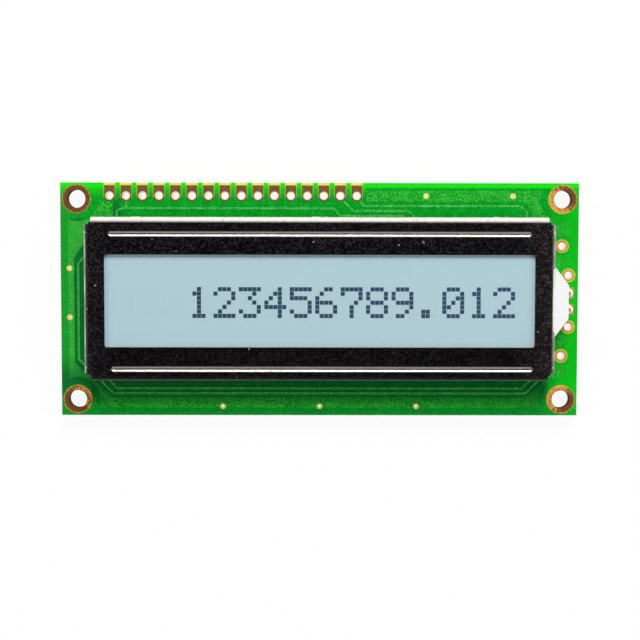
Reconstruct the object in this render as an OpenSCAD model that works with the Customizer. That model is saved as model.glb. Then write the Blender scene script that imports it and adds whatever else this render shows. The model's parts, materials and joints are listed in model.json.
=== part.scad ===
// Character LCD module: a one-row alphanumeric display on its driver board, with an edge-lit
// backlight, elastomer strip contacts and a folded sheet bezel held by twisted tabs.
// Millimetres. The origin is the centre of the mounting-hole pattern, on the board's front face.
// +X runs along the display, +Y towards the header edge, +Z out of the display.

/* [Circuit board] */
// Width of board beside the bezel, at each end of the display
side_margin = 4.4; // [4:0.1:8]
// Height of board above and below the bezel, when the bezel is centred on it
edge_margin = 5.65; // [5.4:0.05:8]
// Thickness of the board
board_t = 1.6; // [1:0.1:2]
// Distance from a mounting hole's centre to each of the two nearest board edges
hole_inset = 2.5; // [2.4:0.05:2.7]
// Finished bore of a mounting hole
hole_d = 2.8; // [2.4:0.1:3.2]
// Outer diameter of the bare ring round a mounting hole
ring_d = 4.5; // [4:0.1:4.7]
// Thickness of the copper foil, and of the plating in the holes
copper_t = 0.05; // [0.04:0.01:0.08]

/* [Header] */
// Number of header pads
pin_count = 16; // [14:1:16]
// Pitch of the header pads
pin_pitch = 2.54; // [2.4:0.02:2.6]
// Distance from the board's left edge to the first header hole
first_pin_inset = 7.6; // [7:0.1:8.5]
// Distance from the header edge of the board to the header holes
pin_inset = 2; // [1.8:0.1:2.2]
// Finished bore of a header hole
pin_hole_d = 1; // [0.8:0.05:1.1]
// Width of a header pad
pin_pad_w = 1.8; // [1.5:0.1:2]

/* [Backlight terminals] */
// Height of the row's centre line above the board's centre line
led_y = -0.2; // [-0.5:0.1:0.5]
// Distance from the right board edge to the inner pair of rings
terminal_inset = 1.5; // [1.3:0.05:1.6]
// Distance from the right board edge to the outer pair of rings
outer_terminal_inset = 2.55; // [2.3:0.05:2.7]
// Distance between the inner pair of rings
inner_terminal_pitch = 8; // [7.6:0.1:9]
// Distance between the outer pair of rings
outer_terminal_pitch = 17; // [16:0.5:18]
// Outer diameter of a terminal ring
terminal_d = 2.1; // [1.8:0.1:2.3]
// Finished bore of a terminal ring
terminal_hole_d = 1.1; // [0.9:0.1:1.3]
// Side of a lamp pad
lead_pad_w = 1.7; // [1.5:0.1:1.9]
// Pitch of the lamp's two leads
lead_pitch = 2.54; // [2.4:0.02:2.7]
// Finished bore of a lamp lead's hole
lead_hole_d = 0.9; // [0.8:0.05:1.1]

/* [Bezel] */
// Width of the display window
window_w = 65; // [60:0.5:66]
// Height of the display window
window_h = 14; // [12:0.5:14.5]
// Corner radius of the window
window_r = 0.4; // [0.2:0.1:1]
// Width of the bezel beside the window
bezel_border_x = 3.1; // [2.9:0.05:3.4]
// Height of the bezel above and below the window
bezel_border_y = 5.35; // [5.2:0.05:5.5]
// Height of the bezel's outline above the board's centre line
bezel_y = 0.3; // [0:0.05:0.35]
// Thickness of the bezel's sheet
sheet_t = 0.4; // [0.3:0.05:0.5]
// Outer radius of the bezel's bends
bend_r = 0.8; // [0.6:0.05:1]
// Size of the relief cut out of each corner, where two bends would meet
corner_relief = 1.1; // [0.9:0.05:1.3]
// Distance from the window to the centre line of each stiffening groove
groove_offset = 3.2; // [2.9:0.05:3.4]
// Distance that a groove stops short of the window's sides
groove_inset = 0.6; // [0:0.1:3]
// How far the lower groove sits to the right of the upper one
groove_shift = 0.35; // [0:0.05:0.5]
// Width of a groove at the face
groove_w = 1; // [0.8:0.05:1.2]
// Depth of a groove
groove_depth = 0.22; // [0.15:0.01:0.3]
// Number of fixing tabs along each long wall
tab_count = 3; // [2:1:4]
// Distance between neighbouring fixing tabs
tab_pitch = 28; // [22:0.5:30]
// Width of a fixing tab
tab_w = 2.2; // [1.8:0.1:2.6]
// Length of tab left below the board
tab_drop = 1.3; // [1.1:0.05:1.6]
// Angle that a tab's end is twisted by
tab_twist = 35; // [20:1:45]
// Clearance round a tab in its slot
slot_clear = 0.15; // [0.1:0.05:0.25]

/* [Display cell] */
// Thickness of each sheet of glass
glass_t = 0.9; // [0.7:0.05:1.1]
// Gap between the two sheets of glass
cell_gap = 0.05; // [0.04:0.01:0.08]
// Thickness of each polarizer
polarizer_t = 0.2; // [0.15:0.01:0.25]
// Overlap of the front polarizer behind the bezel, all round the window
polarizer_overlap = 1; // [0.8:0.1:1.5]
// Clearance between the glass and the inside of the bezel's bends
glass_clear = 0.1; // [0.05:0.05:0.25]
// Width of the contact ledge, where the front glass reaches past the rear glass
ledge_w = 2.3; // [2.1:0.05:2.5]
// Width of the seal round the liquid crystal
seal_w = 0.9; // [0.7:0.1:1.2]
// Distance from the rear glass's edge to the seal
seal_inset = 0.3; // [0.2:0.05:0.4]
// Width of the filling port
port_w = 2.5; // [2:0.1:4]

/* [Strip contacts] */
// Width of an elastomer strip
strip_w = 1.9; // [1.7:0.05:2]
// Pitch of the contact fingers under a strip
finger_pitch = 1.5; // [1.4:0.05:1.8]
// Width of a contact finger
finger_w = 0.9; // [0.7:0.05:1.1]

/* [Backlight] */
// Thickness of the frame's floor
floor_t = 0.8; // [0.6:0.05:1]
// Thickness of the frame's walls
frame_wall = 0.7; // [0.6:0.05:0.75]
// Thickness of the light guide
guide_t = 2; // [1.8:0.05:2.4]
// Thickness of the reflector film
reflector_t = 0.1; // [0.08:0.01:0.15]
// Thickness of the diffuser film
diffuser_t = 0.15; // [0.1:0.01:0.2]
// Clearance round the guide and the films in the frame
guide_clear = 0.15; // [0.1:0.01:0.2]
// How far the lamp housing reaches past the bezel's side
housing_reach = 2.45; // [2.3:0.05:2.5]
// Width of the lamp housing at its outer end
housing_tip_w = 5.1; // [4.9:0.05:5.6]
// Angle between the lamp housing's slanted sides and the display's length
housing_flare = 53; // [48:1:54]
// Thickness of the lamp housing's walls
housing_wall = 0.5; // [0.4:0.05:0.55]
// Height of the lamp housing's underside above the board
housing_lift = 0.3; // [0.25:0.05:0.4]
// Thickness of the white film over the lamp housing
cover_t = 0.12; // [0.1:0.01:0.15]
// Width of the notch in the bezel's side at the level of its face
notch_top_w = 8.1; // [7.5:0.1:9]
// Clearance between the lamp housing and the notch in the bezel
notch_clear = 0.3; // [0.2:0.05:0.5]

/* [Lamp] */
// Width of the lamp's body
lamp_w = 4; // [3.6:0.05:4.1]
// Depth of the lamp's body, along the display
lamp_depth = 1; // [0.8:0.05:1.1]
// Gap between the lamp and the light guide, and over the lamp
lamp_gap = 0.1; // [0.05:0.01:0.15]
// Width of a lead
lead_w = 0.5; // [0.4:0.05:0.55]
// Thickness of a lead
lead_t = 0.25; // [0.2:0.01:0.3]
// Height of the leads' straight run above the housing's floor
lead_rise = 0.5; // [0.3:0.05:0.8]
// Distance from the lamp housing's end to the leads' legs
lead_run = 0.45; // [0.42:0.01:0.55]
// Length of lead left below the board
lead_drop = 0.9; // [0.6:0.05:1.1]

/* [Driver side] */
// Diameter of a resin cap over a bare chip
blob_d = 13.5; // [11:0.5:15]
// Height of a resin cap
blob_rise = 1.15; // [0.9:0.05:1.25]
// Distance between the two resin caps
blob_pitch = 30; // [24:0.5:34]
// Width of a bare chip
die_w = 3.8; // [2.5:0.1:5]
// Height of a bare chip
die_h = 3.2; // [2.5:0.1:5]
// Thickness of a bare chip
die_t = 0.4; // [0.3:0.02:0.5]
// Length of a chip resistor or capacitor
chip_l = 2; // [1.8:0.05:2.2]
// Width of a chip resistor or capacitor
chip_w = 1.25; // [1.1:0.05:1.4]
// Thickness of a chip resistor
resistor_t = 0.5; // [0.4:0.05:0.7]
// Thickness of a chip capacitor
capacitor_t = 0.8; // [0.6:0.05:1]
// Length of a chip's metal end
chip_end_l = 0.4; // [0.3:0.05:0.5]
// Number of resistors in the bias ladder
ladder_count = 5; // [3:1:6]
// Pitch of the ladder's resistors
ladder_pitch = 3; // [2.6:0.1:3.2]
// Pitch of the capacitors
capacitor_pitch = 4; // [3:0.1:5]
// Distance from the board's sides to the row of chips beside each
chip_row_inset = 13.5; // [12:0.1:14]

/* [Copper artwork] */
// Width of a track
track_w = 0.3; // [0.25:0.01:0.35]
// Pitch of the tracks that run beside each other
track_pitch = 0.77; // [0.72:0.01:0.85]
// Distance from the header holes to the nearest long track
track_drop = 1.55; // [1.5:0.05:1.7]
// Distance from the lower board edge to the nearest long track
low_track_inset = 3.42; // [3.3:0.02:3.6]
// Distance from the left board edge to the track beside it
side_track_inset = 2.7; // [2.6:0.05:2.9]
// Distance from the side track's upper end to the upper groove
side_track_drop = 3.6; // [3:0.1:4.5]
// Distance from the last header hole to the end of the shortest long track
short_track_reach = 7.2; // [6:0.1:9]
// Distance from the board's edges to the ground pour
pour_inset = 1.2; // [0.9:0.05:1.4]
// Width of bare board kept between the pour and the tracks
pour_gap = 0.5; // [0.4:0.05:0.6]
// Width of bare board kept round a mounting ring
ring_gap = 1.2; // [0.9:0.05:1.4]
// Outer diameter of a via
via_d = 0.9; // [0.8:0.05:1]
// Bore of a via
via_hole_d = 0.45; // [0.35:0.05:0.55]
// Distance from the left board edge to the vias beside it
side_via_inset = 1.35; // [1.2:0.05:1.4]
// Distance between the two vias beside the left edge
side_via_pitch = 7.6; // [6:0.1:9]
// Distance from the lower board edge to the vias along it
low_via_inset = 1.4; // [1.2:0.05:1.6]
// Distance from the header edge to the vias along it
high_via_inset = 2; // [1.8:0.05:2.2]
// Distance from the last header hole to the next via
high_via_gap = 10.7; // [9:0.1:12]
// Distance between the two vias along the header edge
high_via_pitch = 13.4; // [12:0.1:15]

/* [Hidden] */
$fn = 48;

// Length that a cut runs past a face
over = 0.5;
// Gap between the front polarizer and the bezel's sheet
face_gap = 0.02;

// Outlines of the bezel and of the board round it
bezel_w = window_w + 2 * bezel_border_x;
bezel_h = window_h + 2 * bezel_border_y;
board_w = bezel_w + 2 * side_margin;
board_h = bezel_h + 2 * edge_margin;

// Board
board_right = board_w / 2;
board_top = board_h / 2;
hole_x = board_right - hole_inset;
hole_y = board_top - hole_inset;
back_z = -board_t;

// Header
first_pin_x = first_pin_inset - board_right;
last_pin_x = first_pin_x + (pin_count - 1) * pin_pitch;
pin_y = board_top - pin_inset;

// Bezel
bezel_right = bezel_w / 2;
wall_x = bezel_right - sheet_t / 2;
wall_y = bezel_h / 2 - sheet_t / 2;
groove_y = window_h / 2 + groove_offset;
groove_len = window_w - 2 * groove_inset;
groove_r = (groove_w * groove_w / 4 + groove_depth * groove_depth) / (2 * groove_depth);
slot_w = tab_w + 2 * slot_clear;
slot_t = sheet_t + 2 * slot_clear;

// Display cell
glass_w = bezel_w - 2 * (bend_r + glass_clear);
glass_h = bezel_h - 2 * (bend_r + glass_clear + abs(bezel_y));
rear_glass_h = glass_h - 2 * ledge_w;
seal_out_w = glass_w - 2 * seal_inset;
seal_out_h = rear_glass_h - 2 * seal_inset;
strip_y = rear_glass_h / 2 + ledge_w / 2;

// Heights, from the board's copper up to the bezel's face
seat_z = copper_t;
floor_z = seat_z + floor_t;
guide_z = floor_z + reflector_t;
guide_top = guide_z + guide_t;
rear_glass_z = guide_top + diffuser_t + polarizer_t;
cell_z = rear_glass_z + glass_t;
front_glass_z = cell_z + cell_gap;
front_glass_top = front_glass_z + glass_t;
bezel_under_z = front_glass_top + max(polarizer_t, groove_depth) + face_gap;
bezel_z = bezel_under_z + sheet_t;

// Backlight
frame_in_w = glass_w - 2 * frame_wall;
frame_in_h = rear_glass_h - 2 * frame_wall;
flare = tan(housing_flare);
wall_across = housing_wall / cos(housing_flare);
clear_across = guide_clear / cos(housing_flare);
tip_x = bezel_right + housing_reach;
lamp_back_x = tip_x - housing_wall;
lamp_front_x = lamp_back_x - lamp_depth;
flare_end_x = lamp_front_x - lamp_gap;
lead_x = tip_x + lead_run;
lead_z = floor_z + lead_rise;
lead_slot_w = lead_w + 2 * guide_clear;

// Artwork
pour_keep_r = ring_d / 2 + ring_gap;
header_track_y = pin_y - track_drop;
low_track_y = low_track_inset - board_top;
side_track_x = side_track_inset - board_right;
side_y = groove_y - 0.4;
under_y = wall_y - 1;
fan_drop = pin_pad_w / 2 + 0.7;
fan_pitch = pin_pitch / 3;
rail_w = 2.2;

// Driver side
blob_x = blob_pitch / 2;
chip_seat_z = back_z - copper_t;
ladder_x = board_right - chip_row_inset;
capacitor_x = -ladder_x;

// Places of the vias, each measured from the board edge beside it
via_spots = [
    for (s = [-1, 1]) [side_via_inset - board_right, 1 + s * side_via_pitch / 2],
    for (k = [-1:1]) [k * blob_x, low_via_inset - board_top],
    for (k = [0, 1]) [last_pin_x + high_via_gap + k * high_via_pitch, board_top - high_via_inset]
];

// Places of the chips on the back
capacitor_spots = [for (k = [-1:1]) [capacitor_x, k * capacitor_pitch]];
resistor_spots = [for (k = [0:ladder_count - 1]) [ladder_x, (k - (ladder_count - 1) / 2) * ladder_pitch]];

// Half the lamp housing's outer width at a place along the display
function housing_half(x) = housing_tip_w / 2 + (tip_x - x) * flare;

// Places of the fixing tabs along a wall
tab_xs = [for (k = [0:tab_count - 1]) (k - (tab_count - 1) / 2) * tab_pitch];

// Places of the header pads
pin_xs = [for (k = [0:pin_count - 1]) first_pin_x + k * pin_pitch];

// Places of the terminal rings
terminal_spots = [
    for (s = [-1, 1]) [board_right - terminal_inset, led_y + s * inner_terminal_pitch / 2],
    for (s = [-1, 1]) [board_right - outer_terminal_inset, led_y + s * outer_terminal_pitch / 2]
];

module at_mounting_holes() {
    for (sx = [-1, 1], sy = [-1, 1]) translate([sx * hole_x, sy * hole_y]) children();
}

module at_pins() {
    for (x = pin_xs) translate([x, pin_y]) children();
}

module at_terminals() {
    for (p = terminal_spots) translate(p) children();
}

module at_leads() {
    for (s = [-1, 1]) translate([lead_x, led_y + s * lead_pitch / 2]) children();
}

module at_tab_slots() {
    for (s = [-1, 1], x = tab_xs) translate([x, bezel_y + s * wall_y]) children();
}

module at_spots(spots) {
    for (p = spots) translate(p) children();
}

// A flat piece of a given outline between two heights
module slab(z0, z1) {
    translate([0, 0, z0]) linear_extrude(z1 - z0) children();
}

// A track of round-ended straight runs through the given points
module track(points) {
    for (k = [0:len(points) - 1]) translate(points[k]) circle(d = track_w);
    for (k = [0:len(points) - 2]) {
        run = points[k + 1] - points[k];
        translate(points[k]) rotate(atan2(run.y, run.x)) translate([0, -track_w / 2])
            square([norm(run), track_w]);
    }
}

// A plated hole: a barrel through the board with a pad of the given outline on both faces
module plated_hole(bore_d) {
    difference() {
        union() {
            slab(back_z - copper_t, copper_t) circle(d = bore_d + 2 * copper_t);
            slab(0, copper_t) children();
            slab(back_z - copper_t, back_z) children();
        }
        slab(back_z - over, over) circle(d = bore_d);
    }
}

// ---- Board and its bare copper ----

module header_pad_outline() {
    circle(d = pin_pad_w);
    translate([-pin_pad_w / 2, 0]) square([pin_pad_w, pin_inset]);
}

module printed_circuit_board() {
    color("green") difference() {
        slab(back_z, 0) square([board_w, board_h], center = true);
        slab(back_z - over, over) {
            at_mounting_holes() circle(d = hole_d + 2 * copper_t);
            at_pins() circle(d = pin_hole_d + 2 * copper_t);
            at_terminals() circle(d = terminal_hole_d + 2 * copper_t);
            at_leads() circle(d = lead_hole_d + 2 * copper_t);
            at_spots(via_spots) circle(d = via_hole_d + 2 * copper_t);
            at_tab_slots() square([slot_w, slot_t], center = true);
        }
    }
}

module mounting_rings() {
    color("goldenrod") at_mounting_holes() plated_hole(hole_d) circle(d = ring_d);
}

module header_pads() {
    color("peru") at_pins() plated_hole(pin_hole_d) header_pad_outline();
}

module terminal_rings() {
    color("goldenrod") at_terminals() plated_hole(terminal_hole_d) circle(d = terminal_d);
}

module lamp_pads() {
    color("goldenrod") at_leads() plated_hole(lead_hole_d) square(lead_pad_w, center = true);
}

module vias() {
    color("gold") at_spots(via_spots) plated_hole(via_hole_d) circle(d = via_d);
}

// ---- Coated copper artwork ----

// The region inside the ground pour that the tracks and the contact fingers lie in
module pour_window() {
    track_room = pour_gap + track_w / 2;
    step = 1.4;
    slope = 2.6;
    right = window_w / 2 + track_room - 0.4;
    far_right = right + 2;
    low_right = far_right - slope;
    left = side_track_x - track_room;
    left_in = left + step;
    row_end = glass_w / 2 - seal_inset;
    row_edge = strip_y + strip_w / 2 + pour_gap / 2;
    low = low_track_y - track_room;
    high = header_track_y + track_room;
    polygon([
        [-low_right, low], [low_right, low], [far_right, low + slope], [far_right, row_edge],
        [right, row_edge], [right, high - step], [right - step, high],
        [first_pin_x + pour_gap, high], [first_pin_x + pour_gap, row_edge],
        [-row_end, row_edge], [-row_end, side_y - step], [left_in, side_y - step],
        [left, side_y - step - 2], [left, -side_y], [left_in, -side_y - step],
        [left_in, -row_edge], [-far_right, -row_edge], [-far_right, low + slope]
    ]);
}

// Everything that the ground pour on either face stays clear of
module pour_keepouts() {
    at_mounting_holes() circle(r = pour_keep_r);
    at_terminals() circle(d = terminal_d + 2 * pour_gap);
    at_leads() square(lead_pad_w + 2 * pour_gap, center = true);
    at_spots(via_spots) circle(d = via_d);
    at_tab_slots() square([slot_w + 2 * slot_clear, slot_t + 2 * slot_clear], center = true);
}

module front_ground_pour() {
    row_left = first_pin_x + pour_gap;
    row_right = last_pin_x + pin_pad_w / 2 + 2 * track_w;
    corner_left = first_pin_x - pin_pad_w / 2 - 3 * pour_gap;
    color("limegreen") slab(0, copper_t) difference() {
        square([board_w - 2 * pour_inset, board_h - 2 * pour_inset], center = true);
        pour_window();
        pour_keepouts();
        at_pins() header_pad_outline();
        translate([row_left, header_track_y]) square([row_right - row_left, board_h]);
        translate([corner_left, pin_y - pin_pad_w / 2]) square([row_left - corner_left, board_h]);
    }
}

// Tracks from the header that run right, each to its own place under the bezel
module header_tracks() {
    pad_y = pin_y - pin_pad_w / 2;
    feed_y = header_track_y - track_pitch / 2;
    second_y = header_track_y - track_pitch;
    third_y = header_track_y - 2 * track_pitch;
    left_x = first_pin_x + 1.1;
    third_x = last_pin_x + short_track_reach;
    second_x = third_x + 2 * track_w + 1.2;
    first_x = window_w / 2 - 0.5;
    bend = 1;
    track([[pin_xs[1], pad_y], [pin_xs[1], feed_y]]);
    track([
        [left_x, under_y], [left_x, second_y], [left_x + bend, feed_y],
        [last_pin_x - pin_pitch - bend, feed_y], [last_pin_x - pin_pitch, third_y],
        [third_x, third_y], [third_x, under_y]
    ]);
    track([
        [last_pin_x - pin_pitch + pin_pad_w / 3, pad_y], [last_pin_x - bend / 2, second_y],
        [second_x - bend, second_y], [second_x, second_y - bend], [second_x, under_y]
    ]);
    track([
        [last_pin_x + pin_pad_w / 3, pad_y], [last_pin_x + bend, header_track_y],
        [first_x - bend, header_track_y], [first_x, header_track_y - bend], [first_x, under_y]
    ]);
}

// A pair of tracks along the lower edge, whose ends slant up under the bezel
module low_tracks() {
    slant = 1.8;
    for (k = [0, 1]) {
        y = low_track_y + k * track_pitch;
        x = window_w / 2 - 0.5 - 2 * k * track_w;
        track([[-x - slant, y + slant], [-x, y], [x, y], [x + slant, y + slant]]);
    }
}

// One track along the left edge, whose ends slant in under the bezel
module side_track() {
    slant = 1;
    high_y = groove_y - side_track_drop;
    low_y = -0.5 - side_y;
    track([
        [side_track_x + slant, high_y], [side_track_x, high_y - slant],
        [side_track_x, low_y + slant], [side_track_x + slant, low_y]
    ]);
}

module front_tracks() {
    color("limegreen") slab(0, copper_t) difference() {
        union() {
            header_tracks();
            low_tracks();
            side_track();
        }
        at_pins() header_pad_outline();
        at_tab_slots() square([slot_w, slot_t], center = true);
    }
}

module contact_fingers() {
    row = glass_w - 2 * (seal_inset + seal_w) - finger_w;
    count = floor(row / finger_pitch);
    color("gold") slab(0, copper_t) for (s = [-1, 1], k = [0:count])
        translate([(k - count / 2) * finger_pitch, s * strip_y])
            square([finger_w, strip_w], center = true);
}

// ---- Bezel ----

// The section of a groove's bead, below the level y = 0
module bead_section(r) {
    intersection() {
        translate([0, groove_r - groove_depth]) circle(r = r);
        translate([-r, -groove_depth - sheet_t]) square([2 * r, groove_depth + sheet_t]);
    }
}

// A bead pressed down from the level z = 0, with rounded ends
module bead(r) {
    rotate([90, 0, 90]) linear_extrude(groove_len - groove_w, center = true) bead_section(r);
    for (s = [-1, 1]) translate([s * (groove_len - groove_w) / 2, 0])
        rotate([0, 0, -90 * s]) rotate_extrude(angle = 180) intersection() {
            bead_section(r);
            translate([0, -2 * r]) square([r, 2 * r]);
        }
}

module at_grooves() {
    translate([0, groove_y]) children();
    translate([groove_shift, -groove_y]) children();
}

// A folded tray wall, seen along its length: the wall and its bend, from the bend's start
module wall_section() {
    translate([-sheet_t, seat_z]) square([sheet_t, bezel_z - bend_r - seat_z]);
    translate([-bend_r, bezel_z - bend_r]) intersection() {
        difference() {
            circle(r = bend_r);
            circle(r = bend_r - sheet_t);
        }
        square(bend_r);
    }
}

// A wall of the given length, whose outer face lies at y = 0
module wall(length) {
    rotate([90, 0, 90]) linear_extrude(length, center = true) wall_section();
}

// One fixing tab: a neck through the board and an end twisted behind it
module fixing_tab() {
    translate([0, 0, (back_z + seat_z) / 2]) cube([tab_w, sheet_t, seat_z - back_z], center = true);
    translate([0, 0, back_z - tab_drop / 2]) rotate([0, 0, tab_twist])
        cube([tab_w, sheet_t, tab_drop], center = true);
}

// The opening in the right wall that the lamp housing passes through
module housing_notch() {
    low = housing_half(bezel_right - sheet_t) + notch_clear;
    shoulder_z = guide_top + cover_t + notch_clear;
    translate([bezel_right - sheet_t, 0, 0]) rotate([90, 0, 90]) linear_extrude(sheet_t + over)
        polygon([
            [led_y - low, -over], [led_y + low, -over], [led_y + low, shoulder_z],
            [bezel_y + notch_top_w / 2, bezel_z + over], [bezel_y - notch_top_w / 2, bezel_z + over],
            [led_y - low, shoulder_z]
        ]);
}

module window_outline() {
    r = window_r;
    square([window_w - 2 * r, window_h], center = true);
    square([window_w, window_h - 2 * r], center = true);
    for (sx = [-1, 1], sy = [-1, 1])
        translate([sx * (window_w / 2 - r), sy * (window_h / 2 - r)]) circle(r = r);
}

module bezel() {
    flat_w = bezel_w - 2 * bend_r;
    flat_h = bezel_h - 2 * bend_r;
    color("black") difference() {
        union() {
            translate([0, bezel_y, 0]) {
                slab(bezel_under_z, bezel_z) square([flat_w, flat_h], center = true);
                for (a = [0, 180]) rotate([0, 0, a]) translate([0, bezel_h / 2, 0])
                    wall(bezel_w - 2 * corner_relief);
                for (a = [90, -90]) rotate([0, 0, a]) translate([0, bezel_w / 2, 0])
                    wall(bezel_h - 2 * corner_relief);
            }
            at_grooves() translate([0, 0, bezel_z]) bead(groove_r + sheet_t);
            at_tab_slots() fixing_tab();
        }
        at_grooves() translate([0, 0, bezel_z]) bead(groove_r);
        slab(bezel_under_z - over, bezel_z + over) window_outline();
        housing_notch();
    }
}

// ---- Display cell ----

module front_polarizer() {
    color("lightblue") slab(front_glass_top, front_glass_top + polarizer_t)
        square([window_w + 2 * polarizer_overlap, window_h + 2 * polarizer_overlap], center = true);
}

module front_glass() {
    color("aliceblue", 0.5) slab(front_glass_z, front_glass_top) square([glass_w, glass_h], center = true);
}

// The outline inside the seal
module cell_inside() {
    square([seal_out_w - 2 * seal_w, seal_out_h - 2 * seal_w], center = true);
}

// The filling port, through the seal's left side
module port_outline() {
    translate([-seal_out_w / 2, -port_w / 2]) square([seal_w, port_w]);
}

module cell_seal() {
    color("gray") slab(cell_z, front_glass_z) difference() {
        square([seal_out_w, seal_out_h], center = true);
        cell_inside();
        port_outline();
    }
}

module filling_port_plug() {
    color("khaki") slab(cell_z, front_glass_z) port_outline();
}

module liquid_crystal() {
    color("lightsteelblue", 0.5) slab(cell_z, front_glass_z) cell_inside();
}

module rear_glass() {
    color("aliceblue", 0.5) slab(rear_glass_z, cell_z) square([glass_w, rear_glass_h], center = true);
}

module rear_polarizer() {
    color("silver") slab(rear_glass_z - polarizer_t, rear_glass_z) film_outline();
}

// ---- Strip contacts ----

module contact_strip(side) {
    row = glass_w - 2 * (seal_inset + seal_w);
    color("dimgray") slab(seat_z, front_glass_z) translate([0, side * strip_y])
        square([row, strip_w], center = true);
}

module upper_contact_strip() {
    contact_strip(1);
}

module lower_contact_strip() {
    contact_strip(-1);
}

// ---- Backlight ----

module film_outline() {
    square([frame_in_w - 2 * guide_clear, frame_in_h - 2 * guide_clear], center = true);
}

// The tapering outline between the display's right end and the lamp, with its sides set in
module housing_outline(from_x, to_x, set_in) {
    from_half = housing_half(from_x) - set_in;
    to_half = housing_half(to_x) - set_in;
    translate([0, led_y]) polygon([
        [from_x, -from_half], [to_x, -to_half], [to_x, to_half], [from_x, from_half]
    ]);
}

module backlight_frame() {
    end_x = glass_w / 2;
    in_x = frame_in_w / 2;
    color("white") difference() {
        union() {
            slab(seat_z, rear_glass_z) square([glass_w, rear_glass_h], center = true);
            slab(seat_z + housing_lift, guide_top) housing_outline(end_x - over, tip_x, 0);
        }
        slab(floor_z, rear_glass_z + over) square([frame_in_w, frame_in_h], center = true);
        slab(floor_z, guide_top) housing_outline(in_x - over, lamp_back_x, wall_across);
        slab(guide_top, rear_glass_z + over) housing_outline(end_x - frame_wall / 2, bezel_right, 0);
        for (s = [-1, 1]) translate([lamp_back_x - over, led_y + s * lead_pitch / 2, lead_z])
            translate([0, -lead_slot_w / 2, 0]) cube([housing_wall + 2 * over, lead_slot_w, guide_t]);
    }
}

module reflector_film() {
    color("whitesmoke") slab(floor_z, guide_z) film_outline();
}

module light_guide() {
    half_w = frame_in_w / 2 - guide_clear;
    color("azure", 0.6) slab(guide_z, guide_top) {
        film_outline();
        housing_outline(half_w - over, flare_end_x, wall_across + clear_across);
    }
}

module diffuser_film() {
    color("white") slab(guide_top, guide_top + diffuser_t) film_outline();
}

module housing_cover_film() {
    color("white") slab(guide_top, guide_top + cover_t) housing_outline(glass_w / 2, tip_x, 0);
}

// ---- Lamp ----

module lamp_body() {
    color("ivory") translate([lamp_front_x, led_y - lamp_w / 2, floor_z])
        cube([lamp_depth, lamp_w, guide_top - floor_z - lamp_gap]);
}

// One lead: a straight run out of the housing and a leg down through the board
module lead() {
    far_x = lead_x + lead_t / 2;
    low_z = back_z - lead_drop;
    translate([lamp_back_x, -lead_w / 2, lead_z]) cube([far_x - lamp_back_x, lead_w, lead_t]);
    translate([far_x - lead_t, -lead_w / 2, low_z]) cube([lead_t, lead_w, lead_z + lead_t - low_z]);
}

module lamp_leads() {
    color("silver") for (s = [-1, 1]) translate([0, led_y + s * lead_pitch / 2, 0]) lead();
}

// A solder joint: it fills the barrel and wicks a little way along the lead on both faces
module lamp_solder() {
    reach = lead_pad_w / 2 - 0.1;
    wick_r = norm([lead_w, lead_t]) / 2 + 0.05;
    wick_h = 0.45;
    color("lightgray") difference() {
        at_leads() {
            slab(back_z - copper_t, copper_t) circle(d = lead_hole_d);
            for (m = [0, 1]) mirror([0, 0, m]) translate([0, 0, copper_t + m * board_t])
                rotate_extrude() polygon([
                    [0, 0], [reach, 0], [wick_r + 0.1, wick_h / 3], [wick_r, wick_h], [0, wick_h]
                ]);
        }
        lamp_leads();
    }
}

// ---- Driver side ----

// Half the height of a resin cap's outline at a distance from its centre
function blob_edge(dx) = sqrt(blob_d * blob_d / 4 - dx * dx);

// Tracks from the header pads that draw together on the left resin cap
module header_fan() {
    middle = (pin_count - 2) / 2;
    for (k = [3:pin_count - 3]) {
        dx = (k - middle) * fan_pitch;
        track([
            [pin_xs[k], pin_y - pin_pad_w / 2], [pin_xs[k], pin_y - fan_drop],
            [dx - blob_x, blob_d / 2 + 2], [dx - blob_x, blob_edge(dx) - over]
        ]);
    }
}

// Tracks from a resin cap that spread towards the lower contact fingers
module finger_fan(side) {
    for (k = [-4:4]) {
        dx = k * fan_pitch;
        x = side * blob_x + dx;
        track([[x, over - blob_edge(dx)], [x, -blob_d / 2 - 1], [x + dx / 2, 1.4 - strip_y]]);
    }
}

module back_tracks() {
    color("limegreen") slab(back_z - copper_t, back_z) difference() {
        union() {
            header_fan();
            finger_fan(-1);
            finger_fan(1);
            for (k = [-3:3]) track([[-blob_x, k * fan_pitch], [blob_x, k * fan_pitch]]);
            for (p = resistor_spots) track([[blob_x, p.y], [ladder_x - chip_l / 2, p.y]]);
            for (p = capacitor_spots) track([[-blob_x, p.y], [capacitor_x + chip_l / 2, p.y]]);
        }
        for (s = [-1, 1]) translate([s * blob_x, 0]) circle(d = blob_d);
        at_chips() chip_pad_outlines();
        at_pins() header_pad_outline();
    }
}

module back_ground_pour() {
    outer = [board_w - 2 * pour_inset, board_h - 2 * pour_inset];
    row_left = first_pin_x - pin_pitch;
    row_right = last_pin_x + pin_pitch / 2;
    color("limegreen") slab(back_z - copper_t, back_z) difference() {
        square(outer, center = true);
        square([outer.x - 2 * rail_w, outer.y - 2 * rail_w], center = true);
        pour_keepouts();
        translate([row_left, 0]) square([row_right - row_left, board_top]);
    }
}

module at_chips() {
    at_spots(resistor_spots) children();
    at_spots(capacitor_spots) children();
}

// The pads under a chip, which reach a little past its ends and sides
module chip_pad_outlines() {
    past_end = 0.4;
    past_side = 0.1;
    pad_l = chip_end_l + past_end;
    for (s = [-1, 1]) translate([s * (chip_l / 2 + past_end - pad_l / 2), 0])
        square([pad_l, chip_w + 2 * past_side], center = true);
}

module chip_pads() {
    color("goldenrod") slab(back_z - copper_t, back_z) at_chips() chip_pad_outlines();
}

module at_die(side) {
    translate([side * blob_x, 0]) children();
}

module die(side) {
    color("slategray") slab(back_z - die_t, back_z) at_die(side) square([die_w, die_h], center = true);
}

module controller_die() {
    die(-1);
}

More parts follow.
